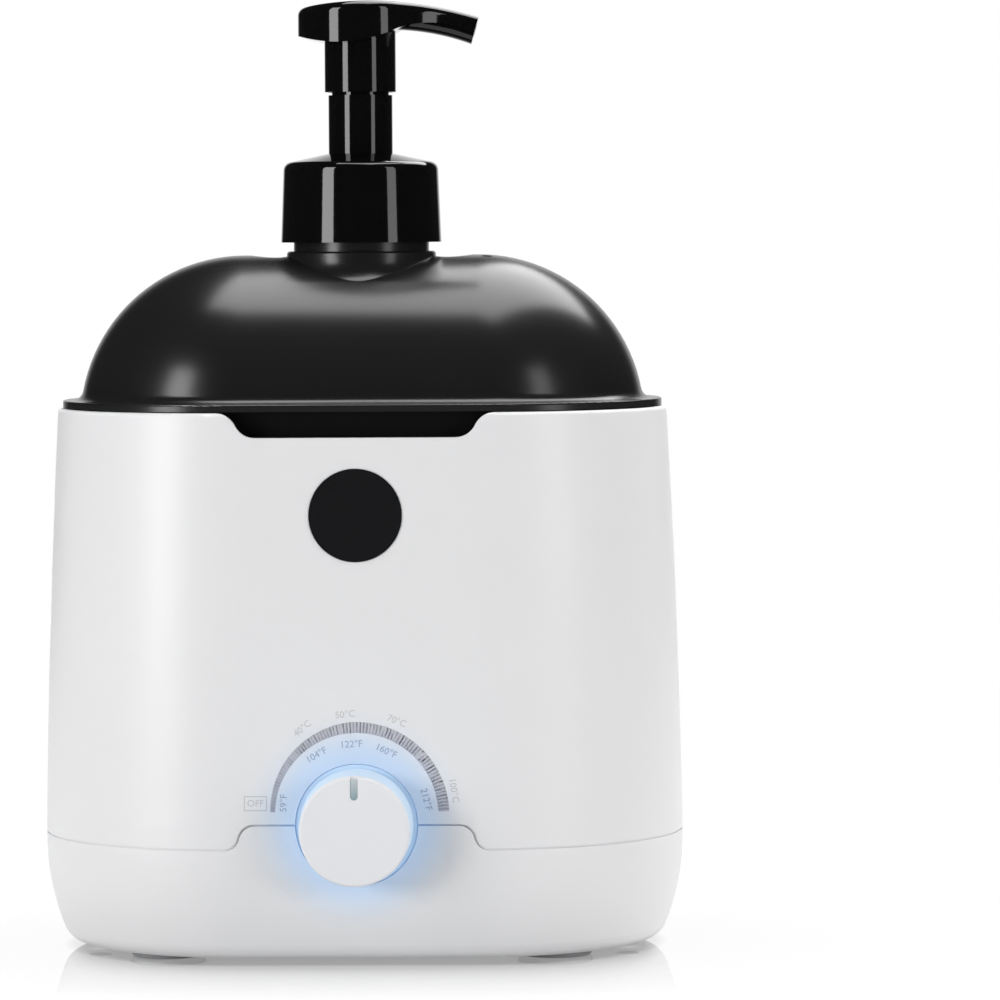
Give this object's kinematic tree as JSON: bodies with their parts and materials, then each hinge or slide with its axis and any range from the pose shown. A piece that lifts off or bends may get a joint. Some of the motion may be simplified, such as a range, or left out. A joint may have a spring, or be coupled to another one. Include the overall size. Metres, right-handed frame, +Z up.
{
  "type": "hot lather machine",
  "caption": "Table-top machine that warms liquid soap in a tank under a dome lid and gives it as foam through a press pump, with a lit temperature knob.",
  "frame": {"origin": "under the middle of the whole machine's bounding box, in the plane the four feet stand on; the pump's axis is at x 0, y 0.0085", "axes": "+Z up; -Y is the front, where the knob is; +X is the viewer's right and the long side of the plan"},
  "size_m": [0.1854, 0.1344, 0.2734],
  "materials": {
    "white_shell": "satin",
    "black_satin": "satin",
    "black_gloss": "gloss",
    "black_frame": "matt",
    "foot_rubber": "matt",
    "zinc_steel": "satin",
    "tank_steel": "brushed",
    "sleeve_fleece": "matt",
    "heater_cast": "cast",
    "copper": "satin",
    "ring_milk": "frosted",
    "board_green": "satin",
    "led_white": "gloss",
    "brass_nut": "satin",
    "pointer_grey": "gloss",
    "wire_brown": "matt",
    "wire_blue": "matt",
    "seal_grey": "matt",
    "natural_plastic": "translucent"
  },
  "bodies": {
    "housing": {"upper_housing": "white_shell", "base_shell": "white_shell", "badge_disc": "black_gloss", "foot_front_left": "foot_rubber", "foot_front_right": "foot_rubber", "foot_rear_left": "foot_rubber", "foot_rear_right": "foot_rubber", "base_screws": "zinc_steel", "inner_frame": "black_frame", "tank": "tank_steel", "insulation_sleeve": "sleeve_fleece", "heater_plate": "heater_cast", "heating_element": "tank_steel", "plate_nuts": "zinc_steel", "thermal_fuse": "zinc_steel", "fuse_clip": "zinc_steel", "sensing_bulb": "copper", "light_ring": "ring_milk", "led_board": "board_green", "leds": "led_white", "mounting_bracket": "zinc_steel", "bracket_screws": "zinc_steel", "thermostat_body": "black_frame", "thermostat_nut": "brass_nut", "power_inlet": "black_frame", "inlet_pins": "brass_nut", "wire_supply": "wire_brown", "wire_return": "wire_blue", "wire_heater": "wire_brown"},
    "lid": {"lid_dome": "black_satin", "lid_seal": "seal_grey"},
    "pump": {"chaplet": "black_gloss", "pump_gasket": "seal_grey", "pump_housing": "natural_plastic", "suction_ball": "tank_steel", "dip_tube": "natural_plastic"},
    "collar": {"pump_collar": "black_gloss"},
    "stem": {"pump_stem": "natural_plastic", "air_piston": "natural_plastic", "liquid_piston": "natural_plastic", "mesh_holder": "natural_plastic", "return_spring": "tank_steel"},
    "head": {"pump_head": "black_gloss"},
    "knob": {"knob": "white_shell", "knob_pointer": "pointer_grey", "thermostat_shaft": "zinc_steel"}
  },
  "joints": [
    {"name": "lid_lift", "type": "slide", "parent": "housing", "child": "lid", "axis": [0, 0, 1], "range_m": [0, 0.115]},
    {"name": "pump_pull", "type": "slide", "parent": "lid", "child": "pump", "axis": [0, 0, 1], "range_m": [0, 0.17]},
    {"name": "collar_turn", "type": "hinge", "parent": "pump", "child": "collar", "pos_m": [0, 0.0085, 0.215], "axis": [0, 0, 1], "continuous": true},
    {"name": "pump_press", "type": "slide", "parent": "pump", "child": "stem", "axis": [0, 0, -1], "range_m": [0, 0.016], "stiffness_N_per_m": 900, "springref_m": -0.006, "deforming": ["return_spring"]},
    {"name": "head_swivel", "type": "hinge", "parent": "stem", "child": "head", "pos_m": [0, 0.0085, 0.255], "axis": [0, 0, 1], "continuous": true},
    {"name": "knob_turn", "type": "hinge", "parent": "housing", "child": "knob", "pos_m": [0, -0.0502, 0.0404], "axis": [0, 1, 0], "range_deg": [-85, 85]}
  ]
}
